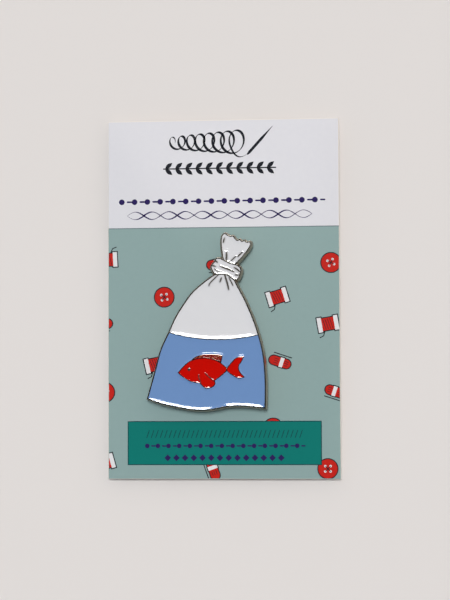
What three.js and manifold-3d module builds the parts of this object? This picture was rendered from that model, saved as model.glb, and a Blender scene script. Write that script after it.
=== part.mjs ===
// A magnetic needle minder on its display card.
//
// The badge is a die-cast plate with sunken cells, and each cell is filled with its own
// colour of soft enamel: a knotted bag of water with a goldfish in it. A disc magnet is
// glued to the back of the plate. A second, loose disc magnet lies behind the card and
// clamps it, as it clamps cloth in use.
//
// Millimetres. The object lies face up: +Z is up, +Y runs to the top of the card, and
// the origin is the centre of the loose magnet's outer face, on the magnets' axis.

import * as THREE from "three";
import { mergeVertices } from "three/addons/utils/BufferGeometryUtils.js";
import Module from "manifold-3d";

const wasm = await Module();
wasm.setup();

// Disc magnets, a common stock size, with the small chamfer that plated discs have
const magnetDiameter = 12;
const magnetThickness = 1.5;
const magnetChamfer = 0.15;
const magnetSides = 48;

// Display card, the size of a European business card, placed off the magnets' axis
const cardWidth = 55;
const cardHeight = 85;
const cardThickness = 0.35;
const cardOffsetX = 2.34;
const cardOffsetY = 11.24;

// Glue film that holds the magnet, squeezed out a little all round
const glueThickness = 0.1;
const glueOverhang = 0.3;

// Die-cast plate: overall size, draft of its sides, depth of its cells, and its metal lines
const badgeHeight = 41.65;
const waterlineRadius = 41.3;
const plateThickness = 2;
const draftDegrees = 8;
const cellDepth = 0.7;
const rimWidth = 0.3;
const waterlineWidth = 0.24;
const fishLineWidth = 0.19;
const finFoldWidth = 0.17;
const fineFoldWidth = 0.25;
const foldWidth = 0.31;
const boldFoldWidth = 0.38;
const foldDrop = 0.04;
const eyeDiameter = 0.62;

// Enamel stands below the metal lines, with a hair of room to the walls of its cell
const enamelDrop = 0.15;
const enamelClearance = 0.04;

// How finely curves are cut: steps from one drawn point to the next, and along a fold
const outlineSteps = 5;
const foldSteps = 8;
const waterlineSteps = 36;
const eyeSides = 16;

// Room that cutting tools take past what they cut
const toolReach = 1;

// Points nearer than these are one point, in a mesh and in an outline
const meshWeld = 1e-5;
const outlineWeld = 0.01;

// Heights, from the surface that the loose magnet lies on
const cardBottom = magnetThickness;
const badgeMagnetBottom = cardBottom + cardThickness;
const glueBottom = badgeMagnetBottom + magnetThickness;
const plateBottom = glueBottom + glueThickness;

// Heights within the plate, from its back
const cellFloor = plateThickness - cellDepth;
const foldTop = plateThickness - foldDrop;
const enamelTop = plateThickness - enamelDrop;

// Drawn outlines, at the badge's drawn size. Each is a ring of runs, and a run is a smooth
// curve through its points. Runs meet at corners.
const bagRuns = [
  [
    [-15.5, -12.4], [-13.6, -5.7], [-12.3, -0.95], [-10.45, 3.1], [-8.5, 7.25], [-5.35, 11.95],
    [-2.95, 14.3], [0, 16.5], [2.4, 17.6],
  ],
  [
    [2.4, 17.6], [4.9, 16.2], [6.05, 14.3], [7.88, 10.8], [9.42, 7.3], [10.7, 3.75], [11.7, 0.2],
    [12.3, -3.3], [12.65, -8], [12.65, -12.8], [12.55, -14.8],
  ],
  [
    [12.55, -14.8], [9.5, -14.45], [6.6, -14.25], [3.75, -14.35], [1.2, -14.85], [-1.2, -15.2],
    [-3.6, -15.2], [-6.4, -14.85], [-11.1, -13.9], [-13.6, -13.15], [-15.5, -12.4],
  ],
];
const knotRuns = [
  [
    [-0.35, 18.5], [-0.05, 19.25], [0.6, 20], [0.95, 20.7], [1.7, 20.8], [2.6, 20.5], [4.2, 19.65],
    [5.9, 19.15], [6.8, 18.5], [7.05, 17.6], [6.75, 16.6], [6.2, 15.55], [5.3, 15.45], [4.4, 15.95],
    [3.5, 16.6], [2.4, 16.75], [1.4, 16.65], [0.4, 17.1], [-0.35, 18.5],
  ],
];
const ruffleRuns = [
  [
    [3.5, 18.6], [2.6, 20.4], [2.2, 22.9], [2.1, 24.8], [2.35, 26.05], [3.05, 26.65], [3.75, 26.3],
    [4.4, 25.97], [5.05, 26.05], [5.55, 25.45], [6.1, 24.98], [6.65, 25.2], [7.2, 24.76],
    [7.75, 24.93], [8.3, 24.5], [8.95, 24.63], [9.35, 24.2], [9.05, 23.1], [7.7, 21.25],
    [6.1, 19.55], [5, 18.4],
  ],
  [[5, 18.4], [3.5, 18.6]],
];
const fishBodyRuns = [
  [[-7.92, -6.25], [-6.4, -4.6], [-4.6, -3.4], [-1.8, -2.95], [1.1, -3.6], [3.2, -5.1]],
  [[3.2, -5.1], [3.35, -5.53], [3.2, -5.95]],
  [[3.2, -5.95], [1.95, -7.03], [0.4, -8.15]],
  [[0.4, -8.15], [0.6, -8.85], [0.1, -9.5], [-1.3, -9.85], [-2.1, -9.4], [-2.75, -8.7]],
  [[-2.75, -8.7], [-5.2, -8.15], [-6.95, -7.07], [-7.92, -6.25]],
];
const fishTailRuns = [
  [[3.6, -5.3], [4.95, -3.68], [5.95, -2.87], [7.25, -2.7]],
  [[7.25, -2.7], [6.8, -3.7], [6.22, -4.6], [6.22, -5.75], [6.72, -6.6], [7.4, -7.3]],
  [[7.4, -7.3], [6.3, -7.5], [4.9, -6.85], [3.6, -5.85]],
  [[3.6, -5.85], [3.6, -5.3]],
];
const dorsalFinRuns = [
  [[-4.5, -3.1], [-3.2, -2.43], [-1.5, -2.17], [0.8, -2.17], [2.3, -2.42]],
  [[2.3, -2.42], [2.18, -3.12], [1.98, -3.78]],
  [[1.98, -3.78], [1.1, -3.35], [-1.8, -2.7], [-4.5, -3.1]],
];
const drawnTop = Math.max(...ruffleRuns.flat().map(([, y]) => y));
const drawnFoot = Math.min(...bagRuns.flat().map(([, y]) => y));
const drawnScale = badgeHeight / (drawnTop - drawnFoot);

// The water's surface in the bag is an arc, lowest at this drawn point
const waterlineLow = [1.65, 1.5];

// Folds are thin metal ridges that stand in the enamel, widest in the middle
const bagFolds = [
  { width: fineFoldWidth, points: [[1.65, 16.8], [0.5, 15.75], [-0.5, 14.7], [-0.7, 14.1]] },
  { width: foldWidth, points: [[2.3, 16.1], [1.9, 14.95]] },
  { width: boldFoldWidth, points: [[3, 16.9], [3.4, 15.6], [3.75, 14.3], [4, 13.1]] },
  { width: fineFoldWidth, points: [[4, 16.1], [4.5, 15.2], [5, 14.1]] },
];
const knotFolds = [
  { width: boldFoldWidth, points: [[1.9, 18.82], [3.3, 18.25], [4.3, 17.87], [5.25, 17.38]] },
  { width: foldWidth, points: [[0.7, 20.15], [1.4, 19.65]] },
  { width: foldWidth, points: [[0.1, 18.9], [0.95, 18.8]] },
  { width: fineFoldWidth, points: [[0.55, 18.2], [1.2, 17.75], [1.8, 17.45], [2.4, 17.45]] },
  { width: foldWidth, points: [[5.25, 18.45], [5.95, 18], [6.75, 17.3]] },
  { width: foldWidth, points: [[5.5, 16.7], [6.5, 16.6]] },
];
const ruffleFolds = [
  { width: foldWidth, points: [[3.08, 25.5], [2.72, 24.3]] },
  { width: boldFoldWidth, points: [[3.5, 22.1], [3.5, 21], [3.4, 19.8]] },
  { width: fineFoldWidth, points: [[5.8, 21.15], [5.05, 20.45], [4.2, 19.75]] },
  { width: foldWidth, points: [[7.3, 22.1], [6.7, 21.5], [6.1, 20.9]] },
];
const finFolds = [
  { width: finFoldWidth, points: [[-3.2, -6.75], [-3.1, -7.6], [-2.6, -8.8]] },
  { width: finFoldWidth, points: [[-1.7, -6.4], [-0.8, -7.25], [0.4, -8.2]] },
];
const eyeCentre = [-5.5, -5.5];

// A drawn point at the badge's size.
function placed([x, y]) {
  return new THREE.Vector2(x * drawnScale, y * drawnScale);
}

// A closed list of points from drawn runs, anticlockwise.
function loopOf(runs) {
  const loop = [];
  for (const run of runs) {
    const curve = new THREE.SplineCurve(run.map(placed));
    loop.push(...curve.getPoints((run.length - 1) * outlineSteps).slice(0, -1));
  }
  return THREE.ShapeUtils.isClockWise(loop) ? loop.reverse() : loop;
}

// Where two straight edges cross, or null.
function crossingOf(a, b, c, d) {
  const first = b.clone().sub(a);
  const second = d.clone().sub(c);
  const turn = first.cross(second);
  if (turn === 0) return null;
  const between = c.clone().sub(a);
  const alongFirst = between.cross(second) / turn;
  const alongSecond = between.cross(first) / turn;
  const within = (share) => share >= 0 && share <= 1;
  return within(alongFirst) && within(alongSecond) ? a.clone().addScaledVector(first, alongFirst) : null;
}

// The loop without the small knots that an offset ties in its tight corners.
function untied(loop) {
  for (let i = 0; i < loop.length - 2; i++) {
    const last = i === 0 ? loop.length - 1 : loop.length;
    for (let j = i + 2; j < last; j++) {
      const crossing = crossingOf(loop[i], loop[i + 1], loop[j], loop[(j + 1) % loop.length]);
      if (!crossing) continue;
      const between = loop.slice(i + 1, j + 1);
      if (between.length > loop.length / 2) return untied([crossing, ...between]);
      return untied([...loop.slice(0, i + 1), crossing, ...loop.slice(j + 1)]);
    }
  }
  return loop.filter((point, i) => point.distanceTo(loop[(i + 1) % loop.length]) > outlineWeld);
}

// The loop with each point moved outwards by a distance, or inwards where that is negative.
function movedLoop(loop, distance) {
  const sharpest = 0.5;
  return loop.map((point, i) => {
    const before = point.clone().sub(loop[(i + loop.length - 1) % loop.length]).normalize();
    const after = loop[(i + 1) % loop.length].clone().sub(point).normalize();
    const along = before.clone().add(after).normalize();
    const outwards = new THREE.Vector2(along.y, -along.x);
    const stretch = Math.max(sharpest, along.dot(after));
    return point.clone().addScaledVector(outwards, distance / stretch);
  });
}

// The same, tidied where it folds back over itself.
function offsetLoop(loop, distance) {
  return untied(movedLoop(loop, distance));
}

// The closed outline of a ridge along a fold, grown all round by an allowance.
function foldLoop(fold, allowance) {
  const bluntness = 0.35;
  const curve = new THREE.SplineCurve(fold.points.map(placed));
  const left = [];
  const right = [];
  for (let i = 0; i <= foldSteps; i++) {
    const share = i / foldSteps;
    const along = curve.getTangent(share);
    const reach = allowance * (share === 0 ? -1 : share === 1 ? 1 : 0);
    const middle = curve.getPoint(share).addScaledVector(along, reach);
    const bulge = Math.sqrt(Math.max(0, Math.sin(Math.PI * share)));
    const half = (fold.width / 2) * (bluntness + (1 - bluntness) * bulge) + allowance;
    const sideways = new THREE.Vector2(-along.y, along.x);
    left.push(middle.clone().addScaledVector(sideways, half));
    right.push(middle.clone().addScaledVector(sideways, -half));
  }
  const loop = [...right, ...left.reverse()];
  return THREE.ShapeUtils.isClockWise(loop) ? loop.reverse() : loop;
}

// A closed mesh as a solid that can be joined and cut.
function solidOf(geometry) {
  const bare = geometry.clone();
  bare.deleteAttribute("normal");
  bare.deleteAttribute("uv");
  const merged = mergeVertices(bare, meshWeld);
  return new wasm.Manifold(
    new wasm.Mesh({
      numProp: 3,
      vertProperties: merged.getAttribute("position").array,
      triVerts: new Uint32Array(merged.index.array),
    }),
  );
}

// A loop's prism between two heights, as a solid.
function prism(loop, bottom, top) {
  const geometry = new THREE.ExtrudeGeometry(new THREE.Shape(loop), {
    depth: top - bottom,
    bevelEnabled: false,
  });
  return solidOf(geometry.translate(0, 0, bottom));
}

// A prism from the plate's back to its top whose sides spread downwards by the draft.
function draftedPrism(loop) {
  const spread = plateThickness * Math.tan(THREE.MathUtils.degToRad(draftDegrees));
  const foot = movedLoop(loop, spread);
  const count = loop.length;
  const corners = [
    ...loop.flatMap(({ x, y }) => [x, y, plateThickness]),
    ...foot.flatMap(({ x, y }) => [x, y, 0]),
  ];
  const top = THREE.ShapeUtils.triangulateShape(loop, []);
  const bottom = THREE.ShapeUtils.triangulateShape(foot, []).map((face) => [...face].reverse());
  const faces = [...top, ...bottom.map((face) => face.map((i) => i + count))];
  for (let i = 0; i < count; i++) {
    const next = (i + 1) % count;
    faces.push([i, i + count, next + count], [i, next + count, next]);
  }
  return new wasm.Manifold(
    new wasm.Mesh({
      numProp: 3,
      vertProperties: new Float32Array(corners),
      triVerts: new Uint32Array(faces.flat()),
    }),
  );
}

// A solid's surface as a geometry.
function geometryOf(solid) {
  const mesh = solid.getMesh();
  const geometry = new THREE.BufferGeometry();
  geometry.setAttribute("position", new THREE.BufferAttribute(mesh.vertProperties, 3));
  geometry.setIndex(new THREE.BufferAttribute(mesh.triVerts, 1));
  geometry.computeVertexNormals();
  return geometry;
}

// A region above or below the waterline, as far out as the plate reaches. Side is 1 for
// above and -1 for below, and the region starts a clearance off the metal line.
function waterlineTool(side, clearance, bottom, top) {
  const reach = badgeHeight / 2;
  const low = placed(waterlineLow);
  const start = low.y + side * (waterlineWidth / 2 + clearance);
  const loop = [];
  for (let i = 0; i <= waterlineSteps; i++) {
    const x = -reach + (2 * reach * i) / waterlineSteps;
    const rise = waterlineRadius - Math.sqrt(waterlineRadius ** 2 - (x - low.x) ** 2);
    loop.push(new THREE.Vector2(x, start + rise));
  }
  loop.push(new THREE.Vector2(reach, start + side * 2 * reach));
  loop.push(new THREE.Vector2(-reach, start + side * 2 * reach));
  return prism(THREE.ShapeUtils.isClockWise(loop) ? loop.reverse() : loop, bottom, top);
}

const outlines = {
  bag: loopOf(bagRuns),
  knot: loopOf(knotRuns),
  ruffle: loopOf(ruffleRuns),
  fishBody: loopOf(fishBodyRuns),
  fishTail: loopOf(fishTailRuns),
  dorsalFin: loopOf(dorsalFinRuns),
};
const fishCells = ["fishBody", "fishTail", "dorsalFin"];

// The raised island that holds the fish's cells, grown by an allowance.
function fishIsland(bottom, top, allowance) {
  return fishCells
    .map((name) => prism(offsetLoop(outlines[name], fishLineWidth + allowance), bottom, top))
    .reduce((island, piece) => island.add(piece));
}

// Every cell of the plate as a solid between two heights, shrunk all round by a clearance.
// The knot lies over the bag's neck and the ruffle's foot, so its whole outline is cut away.
function cellSolids(bottom, top, clearance) {
  const through = [bottom - toolReach, top + toolReach];
  const inside = (name) => prism(offsetLoop(outlines[name], -rimWidth - clearance), bottom, top);
  const fishCell = (name) => prism(offsetLoop(outlines[name], -clearance), bottom, top);
  const knotCover = prism(offsetLoop(outlines.knot, clearance), ...through);
  const bag = inside("bag").subtract(knotCover);
  return {
    air: bag.intersect(waterlineTool(1, clearance, ...through)),
    water: bag.intersect(waterlineTool(-1, clearance, ...through)),
    knot: inside("knot"),
    ruffle: inside("ruffle").subtract(knotCover),
    fishBody: fishCell("fishBody"),
    fishTail: fishCell("fishTail"),
    dorsalFin: fishCell("dorsalFin"),
  };
}

// The fish's eye, a round post of bare metal, grown by an allowance.
function eyePost(bottom, top, allowance) {
  const radius = eyeDiameter / 2 + allowance;
  const centre = placed(eyeCentre);
  const geometry = new THREE.CylinderGeometry(radius, radius, top - bottom, eyeSides);
  geometry.rotateX(Math.PI / 2);
  return solidOf(geometry.translate(centre.x, centre.y, (top + bottom) / 2));
}

// The plate: its silhouette, with the cells sunk into it and the fish, folds and eye standing.
function buildPlate() {
  const cells = cellSolids(cellFloor, plateThickness + toolReach, 0);
  const root = cellFloor / 2;
  let plate = ["bag", "knot", "ruffle"]
    .map((name) => draftedPrism(outlines[name]))
    .reduce((whole, piece) => whole.add(piece));
  for (const name of ["air", "water", "knot", "ruffle"]) {
    plate = plate.subtract(cells[name]);
  }
  plate = plate.add(fishIsland(root, plateThickness, 0));
  for (const name of fishCells) {
    plate = plate.subtract(cells[name]);
  }
  for (const fold of [...bagFolds, ...knotFolds, ...ruffleFolds, ...finFolds]) {
    plate = plate.add(prism(foldLoop(fold, 0), root, foldTop));
  }
  return plate.add(eyePost(root, foldTop, 0));
}

// The enamel of each cell, cut round whatever metal stands in it.
function buildEnamels() {
  const cells = cellSolids(cellFloor, enamelTop, enamelClearance);
  const through = [cellFloor - toolReach, enamelTop + toolReach];
  const foldTool = (fold) => prism(foldLoop(fold, enamelClearance), ...through);
  const cutFolds = (solid, folds) => folds.reduce((rest, fold) => rest.subtract(foldTool(fold)), solid);
  return {
    air: cutFolds(cells.air, bagFolds),
    water: cells.water.subtract(fishIsland(...through, enamelClearance)),
    knot: cutFolds(cells.knot, knotFolds),
    ruffle: cutFolds(cells.ruffle, ruffleFolds),
    fishBody: cutFolds(cells.fishBody, finFolds).subtract(eyePost(...through, enamelClearance)),
    fishTail: cells.fishTail,
    dorsalFin: cells.dorsalFin,
  };
}

// A chamfered disc, standing on its own origin.
function buildDisc(diameter, thickness, chamfer) {
  const radius = diameter / 2;
  const profile = [
    [0, 0],
    [radius - chamfer, 0],
    [radius, chamfer],
    [radius, thickness - chamfer],
    [radius - chamfer, thickness],
    [0, thickness],
  ].map(([r, z]) => new THREE.Vector2(r, z));
  return new THREE.LatheGeometry(profile, magnetSides).rotateX(Math.PI / 2);
}

// The glue film, standing on its own origin.
function buildGlue() {
  const radius = magnetDiameter / 2 + glueOverhang;
  const geometry = new THREE.CylinderGeometry(radius, radius, glueThickness, magnetSides);
  return geometry.rotateX(Math.PI / 2).translate(0, 0, glueThickness / 2);
}

// The card, placed beside the magnets' axis as it is clamped, standing on its own origin.
function buildCard() {
  const geometry = new THREE.BoxGeometry(cardWidth, cardHeight, cardThickness);
  return geometry.translate(cardOffsetX, cardOffsetY, cardThickness / 2);
}

const materials = {
  nickel: new THREE.MeshStandardMaterial({ color: 0x8f8a82, roughness: 0.2, metalness: 1 }),
  magnetNickel: new THREE.MeshStandardMaterial({ color: 0xb9b8b5, roughness: 0.18, metalness: 1 }),
  glue: new THREE.MeshStandardMaterial({ color: 0xdcd8c8, roughness: 0.3, metalness: 0 }),
  white: new THREE.MeshStandardMaterial({ color: 0xdcdcde, roughness: 0.15, metalness: 0 }),
  blue: new THREE.MeshStandardMaterial({ color: 0x6d8fbe, roughness: 0.15, metalness: 0 }),
  red: new THREE.MeshStandardMaterial({ color: 0xc01206, roughness: 0.15, metalness: 0 }),
  glitter: new THREE.MeshStandardMaterial({ color: 0x8c2018, roughness: 0.3, metalness: 0.4 }),
  card: new THREE.MeshStandardMaterial({ color: 0x8ea6a2, roughness: 0.6, metalness: 0 }),
};

// A named piece of the assembly.
function meshOf(name, geometry, material) {
  const mesh = new THREE.Mesh(geometry, material);
  mesh.name = name;
  return mesh;
}

// The badge: the plate with its enamel, the glue and the glued magnet, at their heights.
function buildBadge() {
  const badge = new THREE.Group();
  const plate = new THREE.Group();
  plate.position.z = plateBottom;
  const enamels = buildEnamels();
  plate.add(
    meshOf("base_plate", geometryOf(buildPlate()), materials.nickel),
    meshOf("bag_enamel", geometryOf(enamels.air), materials.white),
    meshOf("water_enamel", geometryOf(enamels.water), materials.blue),
    meshOf("knot_enamel", geometryOf(enamels.knot), materials.white),
    meshOf("ruffle_enamel", geometryOf(enamels.ruffle), materials.white),
    meshOf("fish_body_enamel", geometryOf(enamels.fishBody), materials.red),
    meshOf("fish_tail_enamel", geometryOf(enamels.fishTail), materials.red),
    meshOf("dorsal_fin_enamel", geometryOf(enamels.dorsalFin), materials.glitter),
  );
  const glue = meshOf("magnet_glue", buildGlue(), materials.glue);
  glue.position.z = glueBottom;
  const magnet = meshOf(
    "badge_magnet",
    buildDisc(magnetDiameter, magnetThickness, magnetChamfer),
    materials.magnetNickel,
  );
  magnet.position.z = badgeMagnetBottom;
  badge.add(plate, glue, magnet);
  return badge;
}

const needleMinder = new THREE.Group();
const card = meshOf("display_card", buildCard(), materials.card);
card.position.z = cardBottom;
const looseMagnet = meshOf(
  "loose_magnet",
  buildDisc(magnetDiameter, magnetThickness, magnetChamfer),
  materials.magnetNickel,
);
needleMinder.add(buildBadge(), card, looseMagnet);

export default needleMinder;
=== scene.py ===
import math

import bmesh
import bpy
import numpy as np
from mathutils import Matrix, Vector
from mathutils.geometry import delaunay_2d_cdt, tessellate_polygon
from mathutils.kdtree import KDTree


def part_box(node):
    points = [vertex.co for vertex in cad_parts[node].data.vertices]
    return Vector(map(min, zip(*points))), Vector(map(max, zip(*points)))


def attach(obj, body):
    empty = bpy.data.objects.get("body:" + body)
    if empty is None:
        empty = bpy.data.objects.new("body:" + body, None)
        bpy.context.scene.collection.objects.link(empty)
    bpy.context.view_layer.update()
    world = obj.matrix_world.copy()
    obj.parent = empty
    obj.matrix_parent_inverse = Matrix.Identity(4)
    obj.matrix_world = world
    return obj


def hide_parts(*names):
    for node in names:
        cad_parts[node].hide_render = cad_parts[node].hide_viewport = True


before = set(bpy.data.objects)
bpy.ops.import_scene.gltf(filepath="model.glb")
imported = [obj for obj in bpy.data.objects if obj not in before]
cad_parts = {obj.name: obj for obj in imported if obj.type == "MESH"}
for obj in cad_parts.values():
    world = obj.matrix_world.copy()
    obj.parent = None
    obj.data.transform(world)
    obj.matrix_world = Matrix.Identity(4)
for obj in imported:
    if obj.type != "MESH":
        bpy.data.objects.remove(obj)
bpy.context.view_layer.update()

# A magnetic needle minder on its display card, face up. Sizes below are in millimetres
# unless a line says otherwise, and the meshes are made in metres.
mm = 0.001
print("stage: frame loaded")


def linear(hexText):
    # sRGB hex to the linear colour that a node takes
    channels = [int(hexText[i:i + 2], 16) / 255 for i in (1, 3, 5)]
    bent = [c / 12.92 if c <= 0.04045 else ((c + 0.055) / 1.055) ** 2.4 for c in channels]
    return (*bent, 1.0)


def addNode(tree, kind, inputs, output=0, **settings):
    # a node with its settings: its inputs are values, hex colours or sockets to link, and
    # what comes back is one of its outputs
    node = tree.nodes.new(kind)
    for name, value in settings.items():
        setattr(node, name, value)
    for key, value in inputs.items():
        if isinstance(value, bpy.types.NodeSocket):
            tree.links.new(value, node.inputs[key])
        else:
            node.inputs[key].default_value = linear(value) if isinstance(value, str) else value
    return node.outputs[output] if len(node.outputs) else None


def newMaterial(name):
    # an empty material, its tree and the place on the piece that its patterns read
    material = bpy.data.materials.new(name)
    material.use_nodes = True
    tree = material.node_tree
    tree.nodes.clear()
    return material, tree, addNode(tree, "ShaderNodeTexCoord", {}, "Object")


def grain(tree, place, size, detail=2.0, stretch=(1, 1, 1)):
    # a mottled pattern whose grain is a size in millimetres, drawn out by a stretch
    turned = addNode(tree, "ShaderNodeMapping", {"Vector": place, "Scale": [1 / s for s in stretch]})
    return addNode(tree, "ShaderNodeTexNoise", {"Vector": turned, "Scale": 1 / (size * mm), "Detail": detail})


def finished(material, colour, rough, relief=None, **more):
    # a finish's shader: rough is a pattern and the two roughnesses it runs between, relief
    # is a pattern, its height in millimetres and its strength, and _ stands for a space
    tree = material.node_tree
    inputs = {name.replace("_", " "): value for name, value in more.items()}
    inputs["Base Color"] = colour
    pattern, smooth, dull = rough
    span = {"Value": pattern, "To Min": smooth, "To Max": dull}
    inputs["Roughness"] = addNode(tree, "ShaderNodeMapRange", span)
    if relief:
        height, depth, strength = relief
        bump = {"Height": height, "Distance": depth * mm, "Strength": strength}
        inputs["Normal"] = addNode(tree, "ShaderNodeBump", bump)
    shader = addNode(tree, "ShaderNodeBsdfPrincipled", inputs)
    addNode(tree, "ShaderNodeOutputMaterial", {"Surface": shader})
    return material


def softEnamel(name, colour, shade, thinningAndShade):
    # Baked soft enamel: glossy pigmented resin that has sunk in its cell, with a faint
    # orange peel, pigment that clouds a little, and grey beside the folds that is partly
    # enamel thinned over the metal and partly painted shade
    material, tree, place = newMaterial(name)
    clouds = grain(tree, place, 2.6, 4.0)
    full = addNode(tree, "ShaderNodeMix", {0: clouds, 6: colour, 7: shade}, 2, data_type="RGBA")
    foldCreepAndShade = addNode(tree, "ShaderNodeAttribute", {}, "Fac", attribute_name="foldCreepAndShade")
    thin = addNode(tree, "ShaderNodeMath", {0: foldCreepAndShade, 1: thinningAndShade}, operation="MULTIPLY")
    # greyer towards the folds: partly the enamel thinning over dark metal, partly painted shade
    thinnedAndShaded = addNode(tree, "ShaderNodeMix", {0: thin, 6: full, 7: "#26262A"}, 2, data_type="RGBA")
    rough = (grain(tree, place, 0.5, 2.0), 0.025, 0.05)
    peel = (grain(tree, place, 0.9, 1.0), 0.003, 0.6)
    return finished(material, thinnedAndShaded, rough, peel, IOR=1.58)


def glitterEnamel():
    # Clear red resin with metal flakes that thin out towards the head: each flake is
    # tilted its own way and flashes
    material, tree, place = newMaterial("glitterEnamel")
    flakeSize = 0.17
    flake = addNode(tree, "ShaderNodeTexVoronoi", {"Vector": place, "Scale": 1 / (flakeSize * mm)}, "Color")
    chance, shade, _ = addNode(tree, "ShaderNodeSeparateColor", {"Color": flake}).node.outputs
    x = addNode(tree, "ShaderNodeSeparateXYZ", {"Vector": place})
    head, tail = (corner.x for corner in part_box("dorsal_fin_enamel"))
    scarce = addNode(tree, "ShaderNodeMapRange", {0: x, 1: head, 2: tail, 3: 0.99, 4: 0.78})
    isFlake = addNode(tree, "ShaderNodeMath", {0: chance, 1: scarce}, operation="GREATER_THAN")
    gold = addNode(tree, "ShaderNodeMix", {0: shade, 6: "#A8602C", 7: "#CC9A5E"}, 2, data_type="RGBA")
    colour = addNode(tree, "ShaderNodeMix", {0: isFlake, 6: "#860E08", 7: gold}, 2, data_type="RGBA")
    metallic = addNode(tree, "ShaderNodeMapRange", {"Value": isFlake, "To Min": 0.0, "To Max": 0.9})
    tilt = addNode(tree, "ShaderNodeVectorMath", {0: flake, 1: (0.5, 0.5, 0.5)}, operation="SUBTRACT")
    tilt = addNode(tree, "ShaderNodeVectorMath", {0: tilt, "Scale": 0.9}, operation="SCALE")
    upright = addNode(tree, "ShaderNodeNewGeometry", {}, "Normal")
    tilted = addNode(tree, "ShaderNodeVectorMath", {0: upright, 1: tilt})
    normal = addNode(tree, "ShaderNodeVectorMath", {0: tilted}, operation="NORMALIZE")
    more = {"Metallic": metallic, "Coat_Weight": 0.25, "Coat_Roughness": 0.08, "Normal": normal}
    return finished(material, colour, (isFlake, 0.12, 0.28), **more)


def darkNickel(name, colour, worn, smooth, dull, scratch, pit):
    # Black nickel over cast zinc alloy: a warm dark mirror on the polished lines, duller
    # where it was only tumbled, with hairline scratches
    material, tree, place = newMaterial(name)
    patches = grain(tree, place, 1.8, 5.0)
    blend = addNode(tree, "ShaderNodeMix", {0: patches, 6: colour, 7: worn}, 2, data_type="RGBA")
    hairs = grain(tree, place, 0.05, 2.0, (1, 14, 1))
    relief = addNode(tree, "ShaderNodeMath", {0: hairs, 1: grain(tree, place, pit, 3.0)}, operation="ADD")
    return finished(material, blend, (patches, smooth, dull), (relief, scratch, 0.5), Metallic=1.0)


def stippledNickel():
    # The plate's back as it leaves the mould: a sandy texture under dull black nickel
    material, tree, place = newMaterial("stippledNickel")
    sandGrain = 0.45
    sandInputs = {"Vector": place, "Scale": 1 / (sandGrain * mm), "Smoothness": 0.6}
    sand = addNode(tree, "ShaderNodeTexVoronoi", sandInputs, "Distance", feature="SMOOTH_F1")
    clouds = grain(tree, place, 2.2, 4.0)
    colour = addNode(tree, "ShaderNodeMix", {0: clouds, 6: "#6F6A60", 7: "#857E70"}, 2, data_type="RGBA")
    return finished(material, colour, (sand, 0.32, 0.5), (sand, 0.06, 0.8), Metallic=1.0)


def magnetNickel():
    # Bright nickel plating on a pressed magnet: a pale mirror, rubbed by handling
    material, tree, place = newMaterial("magnetNickel")
    smears = grain(tree, place, 2.4, 5.0)
    colour = addNode(tree, "ShaderNodeMix", {0: smears, 6: "#C9C6BF", 7: "#B7B2A8"}, 2, data_type="RGBA")
    rubs = grain(tree, place, 0.06, 2.0, (1, 18, 1))
    crossRubs = grain(tree, place, 0.07, 2.0, (16, 1, 1))
    relief = addNode(tree, "ShaderNodeMath", {0: rubs, 1: crossRubs}, operation="ADD")
    return finished(material, colour, (smears, 0.12, 0.26), (relief, 0.002, 0.5), Metallic=1.0)


def clearGlue():
    # Two-part epoxy, faintly amber, with a few small bubbles
    material, tree, place = newMaterial("clearEpoxy")
    bubbleInputs = {"Vector": place, "Scale": 1 / (0.5 * mm)}
    bubbles = addNode(tree, "ShaderNodeTexVoronoi", bubbleInputs, "Distance")
    clouds = grain(tree, place, 1.5)
    colour = addNode(tree, "ShaderNodeMix", {0: clouds, 6: "#E9E2C8", 7: "#DDD2AE"}, 2, data_type="RGBA")
    relief = (bubbles, 0.02, 0.4)
    return finished(material, colour, (bubbles, 0.12, 0.3), relief, Transmission_Weight=0.5, IOR=1.5)


def printInk(name, colour, shade):
    # Offset ink on coated card: matt, and mottled where the card took it unevenly
    material, tree, place = newMaterial(name)
    mottle = grain(tree, place, 0.8, 5.0)
    blend = addNode(tree, "ShaderNodeMix", {0: mottle, 6: colour, 7: shade}, 2, data_type="RGBA")
    relief = (grain(tree, place, 0.25, 4.0), 0.008, 0.4)
    return finished(material, blend, (mottle, 0.48, 0.6), relief, Specular_IOR_Level=0.08)


# Mesh helpers


def addPiece(name, points, faces, materials, indices=None, smooth=True):
    # a mesh object from points in millimetres
    mesh = bpy.data.meshes.new(name)
    mesh.from_pydata([tuple(c * mm for c in p) for p in points], [], [tuple(f) for f in faces])
    for material in materials:
        mesh.materials.append(material)
    if indices is not None:
        mesh.polygons.foreach_set("material_index", np.array(indices, np.int32))
    mesh.polygons.foreach_set("use_smooth", np.full(len(mesh.polygons), smooth))
    mesh.update()
    piece = bpy.data.objects.new(name, mesh)
    bpy.context.scene.collection.objects.link(piece)
    return piece


def closed(piece, sharpPast=180, sameSpot=1e-8):
    # doubles merged, faces turned outwards, and edges sharp past an angle in degrees
    form = bmesh.new()
    form.from_mesh(piece.data)
    bmesh.ops.remove_doubles(form, verts=form.verts, dist=sameSpot)
    bmesh.ops.recalc_face_normals(form, faces=form.faces)
    for edge in form.edges:
        if len(edge.link_faces) == 2 and edge.calc_face_angle(0) > math.radians(sharpPast):
            edge.smooth = False
    form.to_mesh(piece.data)
    form.free()
    return piece


def settle(piece, body, slot, *replaced):
    # the piece rides on its body and stands for its CAD nodes
    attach(piece, body)
    if replaced:
        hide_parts(*replaced)


def band(low, high):
    # the faces between two closed rings of point numbers, the lower one first
    low, high = list(low), list(high)
    return list(zip(high, low, low[1:] + low[:1], high[1:] + high[:1]))


def unit(rows):
    return rows / np.linalg.norm(rows, axis=1)[:, None]


def crossed(first, second):
    # the flat cross products of two lists of vectors
    return first[:, 0] * second[:, 1] - first[:, 1] * second[:, 0]


def leftOf(rows):
    # flat vectors turned a quarter to the left
    return np.stack([-rows[:, 1], rows[:, 0]], axis=1)


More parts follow.
